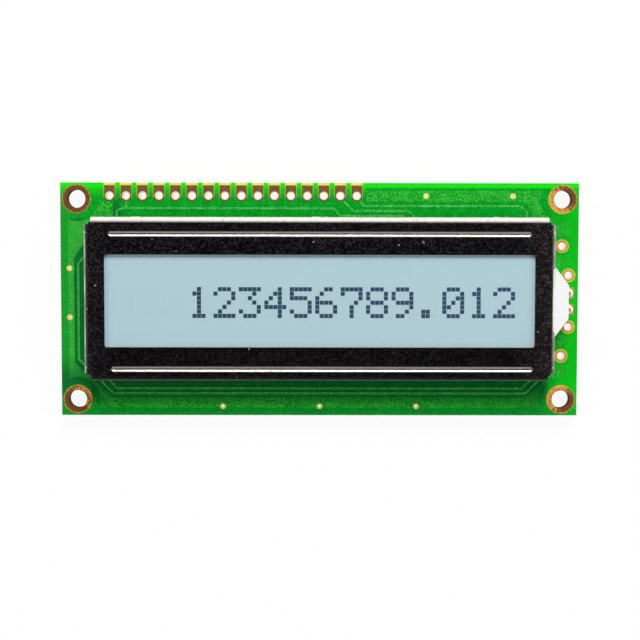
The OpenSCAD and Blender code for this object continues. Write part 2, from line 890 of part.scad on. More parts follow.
module driver_die() {
    die(1);
}

// A low dome of resin over a bare chip
module resin_cap(side) {
    dome_r = (blob_d * blob_d / 4 + blob_rise * blob_rise) / (2 * blob_rise);
    color("black") difference() {
        at_die(side) translate([0, 0, back_z]) rotate([180, 0, 0]) rotate_extrude() intersection() {
            translate([0, blob_rise - dome_r]) circle(r = dome_r, $fn = 180);
            square([blob_d, blob_rise]);
        }
        die(side);
    }
}

module controller_cap() {
    resin_cap(-1);
}

module driver_cap() {
    resin_cap(1);
}

// The middle of a chip, between its metal ends
module chip_core(height) {
    slab(chip_seat_z - height, chip_seat_z) square([chip_l - 2 * chip_end_l, chip_w], center = true);
}

module chip_resistors() {
    color("black") at_spots(resistor_spots) chip_core(resistor_t);
}

module chip_capacitors() {
    color("tan") at_spots(capacitor_spots) chip_core(capacitor_t);
}

module chip_end_pair(height) {
    for (s = [-1, 1]) translate([s * (chip_l - chip_end_l) / 2, 0])
        slab(chip_seat_z - height, chip_seat_z) square([chip_end_l, chip_w], center = true);
}

module chip_ends() {
    color("silver") {
        at_spots(resistor_spots) chip_end_pair(resistor_t);
        at_spots(capacitor_spots) chip_end_pair(capacitor_t);
    }
}

// Solder fillets that run from each pad up a chip's end
module chip_solder() {
    reach = 0.35;
    waist = 0.12;
    color("lightgray") at_chips() for (a = [0, 180]) rotate([0, 0, a])
        translate([chip_l / 2, chip_w / 2, chip_seat_z]) rotate([90, 0, 0]) linear_extrude(chip_w)
            polygon([[0, 0], [reach, 0], [waist, -waist], [0, -reach]]);
}

printed_circuit_board();
mounting_rings();
header_pads();
terminal_rings();
lamp_pads();
vias();
front_ground_pour();
front_tracks();
contact_fingers();
bezel();
front_polarizer();
front_glass();
cell_seal();
filling_port_plug();
liquid_crystal();
rear_glass();
rear_polarizer();
upper_contact_strip();
lower_contact_strip();
backlight_frame();
reflector_film();
light_guide();
diffuser_film();
housing_cover_film();
lamp_body();
lamp_leads();
lamp_solder();
back_tracks();
back_ground_pour();
chip_pads();
controller_die();
driver_die();
controller_cap();
driver_cap();
chip_resistors();
chip_capacitors();
chip_ends();
chip_solder();
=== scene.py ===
"""A character display module: its finishes, its lit digits and its resin caps.

The frame is the CAD model's: the origin is the centre of the mounting-hole pattern on the
board's front face, +X runs along the display, +Y towards the header and +Z out of the
display. Lengths are in millimetres, and MM turns them into Blender's metres.
"""

import json
import math

import bpy
import numpy as np
from mathutils import Euler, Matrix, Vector

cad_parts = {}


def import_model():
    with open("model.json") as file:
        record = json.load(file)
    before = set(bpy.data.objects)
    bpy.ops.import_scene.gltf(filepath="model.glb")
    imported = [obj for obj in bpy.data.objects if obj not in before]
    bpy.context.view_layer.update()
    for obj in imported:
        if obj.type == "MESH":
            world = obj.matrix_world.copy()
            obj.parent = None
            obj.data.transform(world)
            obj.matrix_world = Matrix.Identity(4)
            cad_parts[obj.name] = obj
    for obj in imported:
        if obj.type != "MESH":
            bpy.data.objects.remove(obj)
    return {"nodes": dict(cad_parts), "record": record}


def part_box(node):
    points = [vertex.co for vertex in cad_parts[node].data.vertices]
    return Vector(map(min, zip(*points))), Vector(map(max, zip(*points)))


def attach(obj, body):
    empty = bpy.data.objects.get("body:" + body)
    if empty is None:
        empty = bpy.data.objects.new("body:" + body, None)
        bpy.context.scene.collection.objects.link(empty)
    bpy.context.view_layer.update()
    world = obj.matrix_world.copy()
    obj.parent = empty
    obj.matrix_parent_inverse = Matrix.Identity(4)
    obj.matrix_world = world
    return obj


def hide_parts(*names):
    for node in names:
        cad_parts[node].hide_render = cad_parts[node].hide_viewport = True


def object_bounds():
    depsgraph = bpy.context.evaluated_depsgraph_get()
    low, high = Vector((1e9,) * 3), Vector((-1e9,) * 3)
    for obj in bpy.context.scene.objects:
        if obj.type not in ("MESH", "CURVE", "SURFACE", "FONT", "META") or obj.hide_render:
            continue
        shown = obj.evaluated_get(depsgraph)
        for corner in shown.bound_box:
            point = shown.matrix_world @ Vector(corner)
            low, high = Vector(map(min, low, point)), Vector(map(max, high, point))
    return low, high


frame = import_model()
cad_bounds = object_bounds()
nodes = frame["nodes"]
MM = 0.001

# ---- Sizes read from the frame ----

def box_mm(node):
    """The low and high corners of a node's box, in millimetres."""
    low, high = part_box(node)
    return low / MM, high / MM


board_low, board_high = box_mm("printed_circuit_board")
pads_low, pads_high = box_mm("header_pads")
rings_high = box_mm("mounting_rings")[1]
terminals_low, terminals_high = box_mm("terminal_rings")
film_low, film_high = box_mm("front_polarizer")
bezel_low, bezel_high = box_mm("bezel")

PIN_COUNT = 16
PIN_PITCH = 2.54
PIN_PAD_W = (pads_high.x - pads_low.x) - (PIN_COUNT - 1) * PIN_PITCH
FIRST_PIN_X = pads_low.x + PIN_PAD_W / 2
PIN_Y = pads_low.y + PIN_PAD_W / 2
RING_D = 4.5
RING_X = rings_high.x - RING_D / 2
RING_Y = rings_high.y - RING_D / 2
# Two pairs of terminal rings: the inner pair lies nearer the lamp and the board's edge
TERMINAL_D = 2.1
TERMINAL_MIDDLE = (terminals_low.y + terminals_high.y) / 2
INNER_TERMINAL_X, INNER_TERMINAL_Y = terminals_high.x - TERMINAL_D / 2, 4.0
OUTER_TERMINAL_X, OUTER_TERMINAL_Y = terminals_low.x + TERMINAL_D / 2, 8.5
# The twisted tabs stand out past the bezel's long walls, so its box is wider than its face
TAB_REACH = 0.595
BEND_LOWER, BEND_UPPER = bezel_low.y + TAB_REACH, bezel_high.y - TAB_REACH
# The beads run along the face at this distance above and below its middle
BEAD_Y, BEAD_HALF_W = 10.2, 0.5
# The polarizer's film runs this far under the bezel on each side
FILM_COVERED = 1.0
WINDOW_X, WINDOW_Y = film_high.x - FILM_COVERED, film_high.y - FILM_COVERED
WINDOW_H = (film_high.y - film_low.y) - 2 * FILM_COVERED


# ---- Shader maths ----

class Wire:
    """One output of a finish's node tree. Arithmetic on it adds Math nodes."""

    def __init__(self, finish, node, output=0):
        self.finish, self.node, self.socket = finish, node, node.outputs[output]

    def output(self, key):
        """Another output of the same node."""
        return Wire(self.finish, self.node, key)

    def math(self, operation, *others):
        """The result of one Math node on this output and the others."""
        values = dict(enumerate((self, *others)))
        return self.finish.add("Math", {"operation": operation}, values)

    def __add__(self, other):
        return self.math("ADD", other)

    def __sub__(self, other):
        return self.math("SUBTRACT", other)

    def __mul__(self, other):
        return self.math("MULTIPLY", other)

    def __truediv__(self, other):
        return self.math("DIVIDE", other)

    def __rsub__(self, other):
        return self.finish.add("Math", {"operation": "SUBTRACT"}, {0: other, 1: self})

    def __abs__(self):
        return self.math("ABSOLUTE")

    __radd__ = __add__
    __rmul__ = __mul__


class NodeTree:
    """Makes every node of one tree."""

    def __init__(self, tree):
        self.tree = tree
        self.tree.nodes.clear()

    def add(self, kind, settings=None, values=None, output=0):
        """One node: its settings are set first, then the values or links of its sockets."""
        node = self.tree.nodes.new("ShaderNode" + kind)
        for name, value in (settings or {}).items():
            setattr(node, name, value)
        for key, value in (values or {}).items():
            if isinstance(value, Wire):
                self.tree.links.new(value.socket, node.inputs[key])
            else:
                node.inputs[key].default_value = value
        return Wire(self, node, output) if node.outputs else None


class Finish(NodeTree):
    """A procedural material. Its coordinates are the object's own, in millimetres."""

    def __init__(self, name):
        self.material = bpy.data.materials.new(name)
        self.material.use_nodes = True
        super().__init__(self.material.node_tree)
        where = self.add("TexCoord", output="Object")
        self.place = self.add("VectorMath", {"operation": "SCALE"}, {0: where, "Scale": 1 / MM})
        parts = self.add("SeparateXYZ", None, {0: self.place})
        self.x, self.y, self.z = parts, parts.output(1), parts.output(2)

    def noise(self, per_mm, detail=2.0, rough=0.5, stretch=None):
        """Soft noise from 0 to 1, with so many features in a millimetre."""
        place = self.place
        if stretch:
            place = self.add("VectorMath", {"operation": "MULTIPLY"}, {0: place, 1: stretch})
        values = {"Vector": place, "Scale": per_mm, "Detail": detail, "Roughness": rough}
        return self.add("TexNoise", None, values)

    def cells(self, per_mm):
        """Distance to the nearest of scattered points, with so many of them in a millimetre."""
        values = {"Vector": self.place, "Scale": per_mm}
        return self.add("TexVoronoi", None, values, "Distance")

    def rise(self, value, low, high):
        """0 where the value is under low, 1 where it is over high, and smooth between."""
        values = {"Value": value, "From Min": low, "From Max": high}
        return self.add("MapRange", {"interpolation_type": "SMOOTHSTEP"}, values)

    def fall(self, value, low, high):
        """1 where the value is under low, 0 where it is over high, and smooth between."""
        return 1 - self.rise(value, low, high)

    def blend(self, share, first, second):
        """A colour between two others."""
        settings = {"data_type": "RGBA"}
        return self.add("Mix", settings, {0: share, 6: first, 7: second}, output=2)

    def facing(self):
        """The surface's own direction, as x, y and z from -1 to 1."""
        parts = self.add("SeparateXYZ", None, {0: self.add("NewGeometry", output="True Normal")})
        return parts, parts.output(1), parts.output(2)

    def radius(self, x, y):
        """Distance in millimetres from an upright axis, where x and y are offsets from it."""
        return (x * x + y * y).math("SQRT")

    def bump(self, height, depth_mm):
        """A normal that follows a height from 0 to 1, which stands for this depth."""
        values = {"Height": height, "Distance": depth_mm * MM, "Strength": 1.0}
        return self.add("Bump", None, values)

    def surface(self, colour, rough, normal=None, **numbers):
        """Ends the tree in one Principled surface."""
        values = {"Base Color": colour, "Roughness": rough}
        values.update({name.replace("_", " "): value for name, value in numbers.items()})
        if normal is not None:
            values["Normal"] = normal
        shader = self.add("BsdfPrincipled", None, values)
        self.add("OutputMaterial", None, {"Surface": shader})
        return self.material


def tone(red, green, blue):
    """A display colour, each channel from 0 to 255, as linear light."""
    return tuple(
        c / 12.92 if c <= 0.04045 else ((c + 0.055) / 1.055) ** 2.4
        for c in (red / 255, green / 255, blue / 255)
    ) + (1.0,)


# ---- Finishes: circuit board ----

def weave(f):
    """The faint weave of the glass cloth: two crossed waves, multiplied together."""
    return ((f.x * 11.0).math("SINE") * (f.y * 13.0).math("SINE")) * 0.5 + 0.5


def edge_light(f):
    """How strongly a glow is painted on the board along its upper edge and towards its right one, where
    light shines through the coat.
    """
    upper = f.fall(board_high.y - f.y, 0.6, 0.95)
    right = f.rise(f.x, board_high.x - 5.5, board_high.x - 0.4)
    return upper, right


def front_side(f):
    """1 on the board's front, 0 on its back."""
    return f.rise(f.z, -1.0, -0.6)


def below_bezel(f):
    """The darker strip of board along the bezel's lower side, painted as shade."""
    strip = f.rise(f.y, board_low.y + 0.2, BEND_LOWER - 0.9)
    fade = f.fall(f.y, BEND_LOWER - 0.5, BEND_LOWER + 4.0) * front_side(f)
    return strip * fade * f.fall(f.x, bezel_high.x - 1.0, bezel_high.x + 0.5) * 0.6


def mottled(f, dark, light, fleck, fleck_share=0.4):
    """A coat colour broken up by clouds, by the cloth under it and by fine flecks."""
    cloud, fine, dot = f.noise(0.7, 3.0, 0.55), f.noise(2.6, 2.0, 0.6), f.noise(5.5, 2.0, 0.7)
    share = f.rise(cloud * 0.4 + fine * 0.6 + (dot - 0.5) * 1.3, 0.3, 0.7)
    colour = f.blend(share, dark, light)
    colour = f.blend(f.rise(dot, 0.54, 0.66) * fleck_share, colour, fleck)
    relief = weave(f) * 0.3 + fine * 0.4 + dot * 0.3
    return colour, relief, cloud


def shade_beside_tracks(f):
    """Painted shade: darker green in the narrow gaps beside the tracks, along the left side and at its
    corner.
    """
    side = f.rise(f.x, board_low.x + 1.3, board_low.x + 1.7)
    side = side * f.fall(f.x, board_low.x + 4.2, board_low.x + 4.6)
    side = side * f.fall(abs(f.y), 12.0, 13.0)
    corner = f.rise(f.x, board_low.x + 7.6, board_low.x + 8.1)
    corner = corner * f.fall(f.x, board_low.x + 9.1, board_low.x + 9.6)
    corner = corner * f.rise(f.y, 11.0, 12.0) * f.fall(f.y, 15.0, 15.6)
    return side.math("MAXIMUM", corner) * front_side(f)


def board_coat():
    """Glossy green coat over bare laminate, with a painted glow at two edges, painted shade below the
    bezel, beside the tracks and along the lower edge, and the milled cut edge.
    """
    f = Finish("board_green")
    nz = f.facing()[2]
    green, relief, cloud = mottled(f, tone(0, 130, 24), tone(3, 184, 44), tone(28, 198, 62))
    near_left = f.fall(f.x, board_low.x + 1.0, board_low.x + 4.0)
    green = f.blend(near_left * 0.5, green, tone(36, 160, 50))
    green = f.blend(below_bezel(f) * 1.15, green, tone(2, 68, 42))
    green = f.blend(shade_beside_tracks(f) * 0.6, green, tone(0, 92, 48))
    # Painted glow: brighter green along the upper edge, in a band between the header pads and towards
    # the right edge, where light shines through the coat
    upper, right = edge_light(f)
    green = f.blend(right * 0.8, green, tone(6, 198, 18))
    in_header = f.fall(f.x, pads_high.x + 0.2, pads_high.x + 0.8)
    between_pads = f.fall(board_high.y - f.y, 0.7, 2.5) * in_header
    green = f.blend(between_pads * 0.85, green, tone(24, 208, 2))
    green = f.blend(upper * 0.92, green, tone(26, 230, 16))
    # Painted shade: darker green along the board's lower edge
    lower = f.fall(f.y, board_low.y + 0.5, board_low.y + 1.4)
    green = f.blend(lower * 0.35, green, tone(14, 104, 52))
    # The milled edge: pale laminate between two thin lines of coat
    ply = f.noise(3.0, 3.0, 0.7, (0.35, 0.35, 5.0))
    laminate = f.blend(ply, tone(126, 140, 62), tone(190, 196, 122))
    middle, half = (board_low.z + board_high.z) / 2, (board_high.z - board_low.z) / 2
    coat_line = f.rise(abs(f.z - middle), half - 0.08, half - 0.01)
    laminate = f.blend(coat_line, laminate, tone(20, 120, 40))
    side = f.fall(abs(nz), 0.4, 0.6)
    colour = f.blend(side, green, laminate)
    rough = side * 0.4 + (cloud * 0.12 + 0.2)
    return f.surface(colour, rough, f.bump(relief + side * ply * 2.0, 0.012), IOR=1.33)


def coated_copper(name, dark, light, fleck, shade=1.0):
    """The same coat where copper lies under it: lighter and warmer, most of all at the left, with a
    painted glow towards the right edge and painted shade below the bezel.
    """
    f = Finish(name)
    green, relief, cloud = mottled(f, dark, light, fleck, 0.5)
    right = edge_light(f)[1]
    left = f.fall(f.x, board_low.x + 2.0, board_low.x + 6.0)
    # Painted glow towards the right edge
    green = f.blend(right * 0.6, green, tone(8, 188, 24))
    green = f.blend(left * 0.5, green, tone(62, 180, 66))
    green = f.blend(below_bezel(f) * shade, green, tone(4, 78, 44))
    return f.surface(green, cloud * 0.14 + 0.2, f.bump(relief, 0.012), IOR=1.33)


def open_copper(name, brown_share, wall):
    """Copper left open in the coat: gold, browned and flecked, and another colour in its bores.

    The brown share, a number or a value that changes over the surface, is stirred by a cloud.
    """
    f = Finish(name)
    nz = f.facing()[2]
    cloud, speck = f.noise(0.8, 3.0, 0.6), f.noise(4.5, 3.0, 0.7)
    gold = f.blend(cloud, tone(222, 146, 46), tone(244, 190, 90))
    brown = f.blend(speck, tone(70, 44, 22), tone(134, 92, 46))
    share = brown_share(f) if callable(brown_share) else brown_share
    stirred = (speck - 0.5) * 0.5 + (cloud - 0.5) * 0.5 + share
    colour = f.blend(f.rise(stirred, 0.1, 0.9), gold, brown)
    colour = f.blend(f.fall(speck, 0.34, 0.46) * 0.35, colour, tone(74, 50, 28))
    bore = f.fall(abs(nz), 0.3, 0.7)
    return f, f.blend(bore, colour, wall), bore, speck


def ring_offsets(f):
    """How far a point lies from its own mounting ring's axis, outwards along x and along y."""
    return abs(f.x) - RING_X, abs(f.y) - RING_Y


def ring_brown_and_shade(f):
    """Brown share of a mounting ring, browned copper mixed with painted shading: least on its side
    towards the module's middle, where the gold is a painted highlight.
    """
    out_x, out_y = ring_offsets(f)
    # Painted shading: the side towards the module's middle stays gold as a painted highlight, and the
    # outer side turns browner
    shaded_outward = (out_x * 0.8 + out_y * 0.55) / f.radius(out_x, out_y)
    dull_side = f.fall(f.x, -1.0, 1.0)
    dull_corner = dull_side * f.rise(f.y, -1.0, 1.0)
    angle = out_y.math("ARCTAN2", out_x)
    polar = {0: angle * 3.0, 1: f.radius(out_x, out_y), 2: dull_side * 9.0}
    around = f.add("CombineXYZ", None, polar)
    streak = f.add("TexNoise", None, {"Vector": around, "Scale": 1.6, "Detail": 2.0})
    return shaded_outward * 0.5 + 0.55 + dull_side * 0.4 + dull_corner * 0.5 + (streak - 0.5) * 2.0


def ring_copper():
    """Mounting rings: pale gold lips outside, which are painted highlights, browner outwards as painted
    shading, and browner round the hole.
    """
    f, colour, bore, speck = open_copper("ring_copper", ring_brown_and_shade, tone(96, 62, 30))
    from_axis = f.radius(*ring_offsets(f))
    red = f.rise(f.noise(1.9, 2.0, 0.6), 0.5, 0.66)
    colour = f.blend(red * 0.5, colour, tone(126, 62, 26))
    colour = f.blend(f.fall(from_axis, 1.42, 1.62) * 0.55, colour, tone(104, 62, 34))
    # Painted highlight: a pale gold lip along the ring's outer edge
    lip_highlight = f.rise(from_axis, 1.98, 2.12)
    colour = f.blend(lip_highlight * f.rise(speck, 0.3, 0.65) * 0.55, colour, tone(226, 210, 100))
    rough = speck * 0.2 + 0.35 + bore * 0.5
    return f.surface(colour, rough, f.bump(speck, 0.015), IOR=1.3, Metallic=0.1)


def pad_copper():
    """Header pads: browned and flecked, with bright bores, and painted highlights: pale sides and a
    gilt outer end.
    """
    f, colour, bore, speck = open_copper("pad_copper", 0.95, tone(250, 240, 214))
    from_pin = (f.x - FIRST_PIN_X + PIN_PITCH / 2).math("FLOORED_MODULO", PIN_PITCH)
    from_pin = from_pin - PIN_PITCH / 2
    from_bore = f.radius(from_pin, f.y - PIN_Y)
    colour = f.blend(f.fall(from_bore, 0.6, 0.7) * 0.85, colour, tone(252, 236, 198))
    beyond = f.rise(f.y, PIN_Y + 0.5, PIN_Y + 0.8)
    grey = f.rise(f.noise(3.2, 2.0, 0.6), 0.42, 0.6) * beyond
    colour = f.blend(grey * 0.5, colour, tone(104, 104, 60))
    red = f.rise(f.noise(2.6, 2.0, 0.6), 0.5, 0.64) * beyond
    colour = f.blend(red * 0.6, colour, tone(168, 84, 44))
    # Painted highlight: a gilt line at the pad's outer end and paler sides, where its edges catch light
    end = f.rise(f.y, board_high.y - 0.52, board_high.y - 0.26)
    side = f.rise(abs(from_pin), PIN_PAD_W / 2 - 0.14, PIN_PAD_W / 2 - 0.02)
    edge_glint = end.math("MAXIMUM", side * 0.5)
    colour = f.blend(edge_glint * 0.9, colour, tone(246, 238, 112))
    return f.surface(colour, speck * 0.2 + 0.35, f.bump(speck, 0.015), IOR=1.4, Metallic=bore)


def terminal_copper():
    """Small terminal rings: pale bore rims and outer lips, the lips a painted highlight, with dark gold
    between them.
    """
    f, colour, bore, speck = open_copper("terminal_copper", 0.45, tone(252, 244, 224))
    offset_y = abs(f.y - TERMINAL_MIDDLE)
    near_inner = f.radius(f.x - INNER_TERMINAL_X, offset_y - INNER_TERMINAL_Y)
    near_outer = f.radius(f.x - OUTER_TERMINAL_X, offset_y - OUTER_TERMINAL_Y)
    from_axis = near_inner.math("MINIMUM", near_outer)
    bore_rim = f.fall(from_axis, 0.58, 0.72) * (1 - bore)
    colour = f.blend(bore_rim * 0.8, colour, tone(248, 210, 140))
    # Painted highlight: the pale outer lip
    colour = f.blend(f.rise(from_axis, 0.84, 0.98) * 0.8, colour, tone(226, 208, 96))
    return f.surface(colour, speck * 0.2 + 0.35, f.bump(speck, 0.012), IOR=1.4, Metallic=bore)


def plain_copper():
    """Bare pads under solder and chips."""
    f, colour, _, speck = open_copper("plain_copper", 0.35, tone(220, 150, 80))
    return f.surface(colour, speck * 0.2 + 0.35, f.bump(speck, 0.012), Metallic=0.3)


def via_gilt():
    """Vias: pale gilt, with bright bores."""
    f = Finish("via_gilt")
    nz = f.facing()[2]
    fine = f.noise(5.0, 2.0, 0.6)
    bore = f.fall(abs(nz), 0.3, 0.7)
    colour = f.blend(fine, tone(214, 196, 74), tone(250, 244, 150))
    colour = f.blend(bore, colour, tone(250, 240, 170))
    return f.surface(colour, fine * 0.2 + 0.25, f.bump(fine, 0.01), IOR=1.4, Metallic=bore)


def gold_plate():
    """Thin bright plating with fine brushing and a few dull spots."""
    f = Finish("gold_plate")
    fine, spot = f.noise(9.0, 3.0, 0.6), f.noise(2.2, 2.0, 0.5)
    colour = f.blend(fine, tone(220, 178, 84), tone(252, 232, 160))
    colour = f.blend(f.rise(spot, 0.58, 0.75) * 0.4, colour, tone(150, 108, 52))
    return f.surface(colour, fine * 0.2 + 0.22, f.bump(fine, 0.006), Metallic=0.7)


# ---- Finishes: bezel ----

def black_paint():
    """Black paint on sheet: fine grain and dust, and pale painted highlights and reflections on the
    bends and beads.
    """
    f = Finish("black_steel")
    nx, ny, nz = f.facing()
    grain, peel = f.noise(3.7, 1.0, 0.5), f.noise(2.2, 2.0, 0.5)
    ends = f.rise(f.x, bezel_high.x - 6.6, bezel_high.x - 0.6)
    ends = ends + f.fall(f.x, bezel_low.x + 0.1, bezel_low.x + 4.6) * 0.5
    dark = f.blend(ends * 0.8, tone(1, 1, 3), tone(22, 19, 20))
    light = f.blend(f.rise(f.y, -4.0, 4.0), tone(34, 31, 34), tone(42, 38, 42))
    light = f.blend(ends * 0.8, light, tone(66, 60, 62))
    colour = f.blend(f.rise(grain, 0.46, 0.7), dark, light)
    warm = f.rise(f.noise(1.9, 1.0, 0.5), 0.54, 0.7)
    colour = f.blend(warm * 0.3, colour, tone(30, 14, 8))
    dust = f.fall(f.cells(0.45), 0.03, 0.08) * f.rise(f.noise(0.35), 0.5, 0.56)
    colour = f.blend(dust * 0.8, colour, tone(176, 170, 166))
    scratch = f.noise(0.5, 2.0, 0.5, (0.25, 9.0, 1.0))
    hair = f.fall(abs(scratch - 0.5), 0.0, 0.006) * f.rise(f.noise(0.12), 0.56, 0.66)
    colour = f.blend(hair * 0.4, colour, tone(110, 106, 108))
    # Painted highlights and reflections of the lamps: strongest on the bead flanks and the upper bend,
    # thin at the sides and below
    tilt, bend = f.fall(nz, 0.9, 0.985), f.rise(nz, 0.0, 0.12)
    off_bead = f.y - f.y.math("SIGN") * BEAD_Y
    in_bead = f.fall(abs(off_bead), BEAD_HALF_W, BEAD_HALF_W + 0.06)
    flank = f.rise(ny, 0.1, 0.3) * tilt * in_bead
    sunk = f.fall(f.z, bezel_high.z - 0.15, bezel_high.z - 0.06) * bend
    # Painted reflection: grey along the floor of each bead
    valley = f.rise(off_bead, -0.06, 0.06) * f.fall(off_bead, 0.2, 0.34) * sunk
    upper = f.rise(f.y, BEND_UPPER - 0.92, BEND_UPPER - 0.4) * bend
    lower = f.fall(ny, -0.97, -0.8) * f.fall(f.y, BEND_LOWER + 0.2, BEND_LOWER + 0.4) * bend
    near_side = f.rise(abs(f.x), bezel_high.x - 1.0, bezel_high.x - 0.7) * bend
    sides = (f.fall(nx, -0.85, -0.5) * 1.3 + f.rise(nx, 0.2, 0.8)) * near_side
    patch = f.rise(f.noise(2.5, 2.0, 0.6), 0.2, 0.6)
    side_patch = f.rise(f.noise(0.25, 2.0, 0.5), 0.35, 0.65)
    painted_sheen = flank * 0.85 + valley * 0.34 + upper * 0.95 + lower * 0.3
    painted_sheen = painted_sheen + tilt * sides * (side_patch * 0.5 + 0.22)
    painted_sheen = (painted_sheen * (patch * 0.3 + 0.7)).math("MINIMUM", 1.0)
    colour = f.blend(painted_sheen, colour, tone(236, 230, 222))
    # Behind the board, the twisted tabs: small grey chips in the paint
    behind = f.fall(f.z, board_low.z - 0.3, board_low.z)
    chipped = f.rise(f.noise(4.5, 3.0, 0.7), 0.56, 0.66) * behind
    colour = f.blend(chipped * 0.4, colour, tone(150, 148, 143))
    rough = grain * 0.12 + 0.26 + dust * 0.3
    normal = f.bump(grain * 0.7 + peel * 0.8, 0.006)
    return f.surface(colour, rough, normal, IOR=1.22, Metallic=flank * patch)


# ---- Finishes: display ----

CELL_PITCH = 3.84
DOT_COLUMNS, DOT_ROWS = 5, 7
DOT_PITCH = 0.673
DOT_W, DOT_RISE = 0.622, 0.01
# The lit row's left end and middle line, and where its colour has drifted fully to blue
ROW_LEFT, ROW_MIDDLE = -19.9, -0.2
DRIFT_END = 29.9
# All the display's cells, and how many of them lie before the lit row
CELLS_BEFORE = 3
CELLS = 16


def display_face():
    """Pale blue-grey film over the display, in which the unlit dots only just show."""
    f = Finish("display_face")
    cloud = f.noise(0.12, 3.0, 0.5)
    fine = f.noise(14.0, 2.0, 0.6)
    colour = f.blend(cloud, tone(170, 198, 206), tone(172, 201, 209))
    colour = f.blend(fine * 0.06, colour, tone(150, 182, 194))
    # Unlit dots: a dot's place repeats in a cell, and cells repeat along the row
    left = ROW_LEFT - CELLS_BEFORE * CELL_PITCH
    right_end = left + CELLS * CELL_PITCH
    half_row = DOT_ROWS / 2 * DOT_PITCH
    in_cell = (f.x - left).math("FLOORED_MODULO", CELL_PITCH)
    in_dot_x = in_cell.math("FLOORED_MODULO", DOT_PITCH)
    in_dot_y = (f.y - (ROW_MIDDLE - half_row)).math("FLOORED_MODULO", DOT_PITCH)
    columns = f.fall(in_cell, DOT_COLUMNS * DOT_PITCH - 0.08, DOT_COLUMNS * DOT_PITCH - 0.07)
    across = f.fall(in_dot_x, DOT_W - 0.02, DOT_W + 0.02)
    along = f.fall(in_dot_y, DOT_W - 0.02, DOT_W + 0.02)
    rows = f.fall(abs(f.y - ROW_MIDDLE), half_row - 0.02, half_row)
    row = f.rise(f.x, left - 0.02, left) * f.fall(f.x, right_end, right_end + 0.02)
    unlit = columns * across * along * rows * row
    colour = f.blend(unlit * 0.03, colour, tone(120, 150, 170))
    # The borders, painted: shade below the window's upper edge, and light lines along three edges
    depth = WINDOW_Y - f.y
    colour = f.blend(f.fall(depth, 0.45, 1.05) * 0.27, colour, tone(110, 134, 142))
    colour = f.blend(f.fall(depth, 0.1, 0.4) * 0.35, colour, tone(226, 240, 244))
    base_light = f.rise(depth, WINDOW_H - 0.4, WINDOW_H - 0.1)
    right = f.rise(f.x, WINDOW_X - 0.55, WINDOW_X)
    colour = f.blend(base_light.math("MAXIMUM", right) * 0.35, colour, tone(196, 200, 196))
    return f.surface(colour, fine * 0.08 + 0.3, f.bump(fine, 0.001), IOR=1.45)


def lit_dot():
    """Dark blue of a driven dot, greener at the left and bluer at the right of the row."""
    f = Finish("display_dot")
    patch, fine = f.noise(0.8, 2.0, 0.5), f.noise(9.0, 2.0, 0.5)
    drift = f.rise(f.x, ROW_LEFT, DRIFT_END)
    colour = f.blend(drift, tone(33, 64, 78), tone(44, 70, 98))
    colour = f.blend(patch * 0.4, colour, tone(50, 76, 98))
    colour = f.blend(fine * 0.2, colour, tone(62, 92, 112))
    return f.surface(colour, fine * 0.08 + 0.3, IOR=1.4)


def cut_glass(name, first, second):
    """Glass seen at its scored edge: pale green, with fine vertical hackle."""
    f = Finish(name)
    hackle = f.noise(3.0, 3.0, 0.6, (4.0, 4.0, 0.4))
    colour = f.blend(hackle, first, second)
    return f.surface(colour, hackle * 0.15 + 0.05, f.bump(hackle, 0.01), Coat_Weight=0.6)


def strip_rubber():
    """Layered contact rubber: black conducting leaves between pale insulating ones."""
    f = Finish("strip_rubber")
    leaf_pitch, strip_middle = 0.18, 10.0
    leaf = (f.x * (2 * math.pi / leaf_pitch)).math("SINE")
    dust = f.noise(4.0, 2.0, 0.6)
    colour = f.blend(f.rise(leaf, -0.2, 0.2), tone(20, 20, 22), tone(150, 150, 146))
    core = f.fall(abs(abs(f.y) - strip_middle), 0.42, 0.5)
    colour = f.blend(1 - core, colour, tone(196, 196, 190))
    return f.surface(colour, dust * 0.15 + 0.6, f.bump(leaf * 0.5 + dust, 0.01))


# ---- Finishes: backlight ----

def pale_plastic(name, first, second, rough, gloss=0.0):
    """Moulded plastic or film in a pale colour with a fine, soft unevenness."""
    f = Finish(name)
    cloud = f.noise(0.35, 3.0, 0.5)
    fine = f.noise(8.0, 2.0, 0.6)
    colour = f.blend(cloud, first, second)
    colour = f.blend(fine * 0.08, colour, tone(200, 200, 196))
    normal = f.bump(fine * 0.5 + cloud, 0.008)
    return f.surface(colour, fine * 0.1 + rough, normal, Coat_Weight=gloss, Coat_Roughness=0.1)


def housing_film():
    """White film over the lamp housing, a little yellower next to the bezel, where the tint is painted
    shade.
    """
    f = Finish("housing_film")
    cloud = f.noise(0.5, 3.0, 0.5)
    fine = f.noise(8.0, 2.0, 0.6)
    colour = f.blend(cloud, tone(253, 251, 253), tone(255, 255, 254))
    # Painted shade: a yellower tint next to the bezel
    near = f.fall(f.x, bezel_high.x + 0.1, bezel_high.x + 0.55)
    colour = f.blend(near * 0.5, colour, tone(250, 238, 190))
    return f.surface(colour, fine * 0.1 + 0.35, f.bump(fine * 0.4 + cloud, 0.01), Coat_Weight=0.3)


# ---- Finishes: metal, solder and chips ----

def bright_metal(name, dark, light, rough, depth_mm, metallic=0.8):
    """Tinned metal or solder: bright, with frosted patches and tiny pits."""
    f = Finish(name)
    frost = f.noise(5.0, 3.0, 0.6)
    patch = f.noise(1.4, 2.0, 0.5)
    colour = f.blend(frost, dark, light)
    colour = f.blend(f.rise(patch, 0.5, 0.8) * 0.3, colour, tone(150, 148, 144))
    normal = f.bump(frost + patch, depth_mm)
    return f.surface(colour, frost * 0.25 + rough, normal, Metallic=metallic)


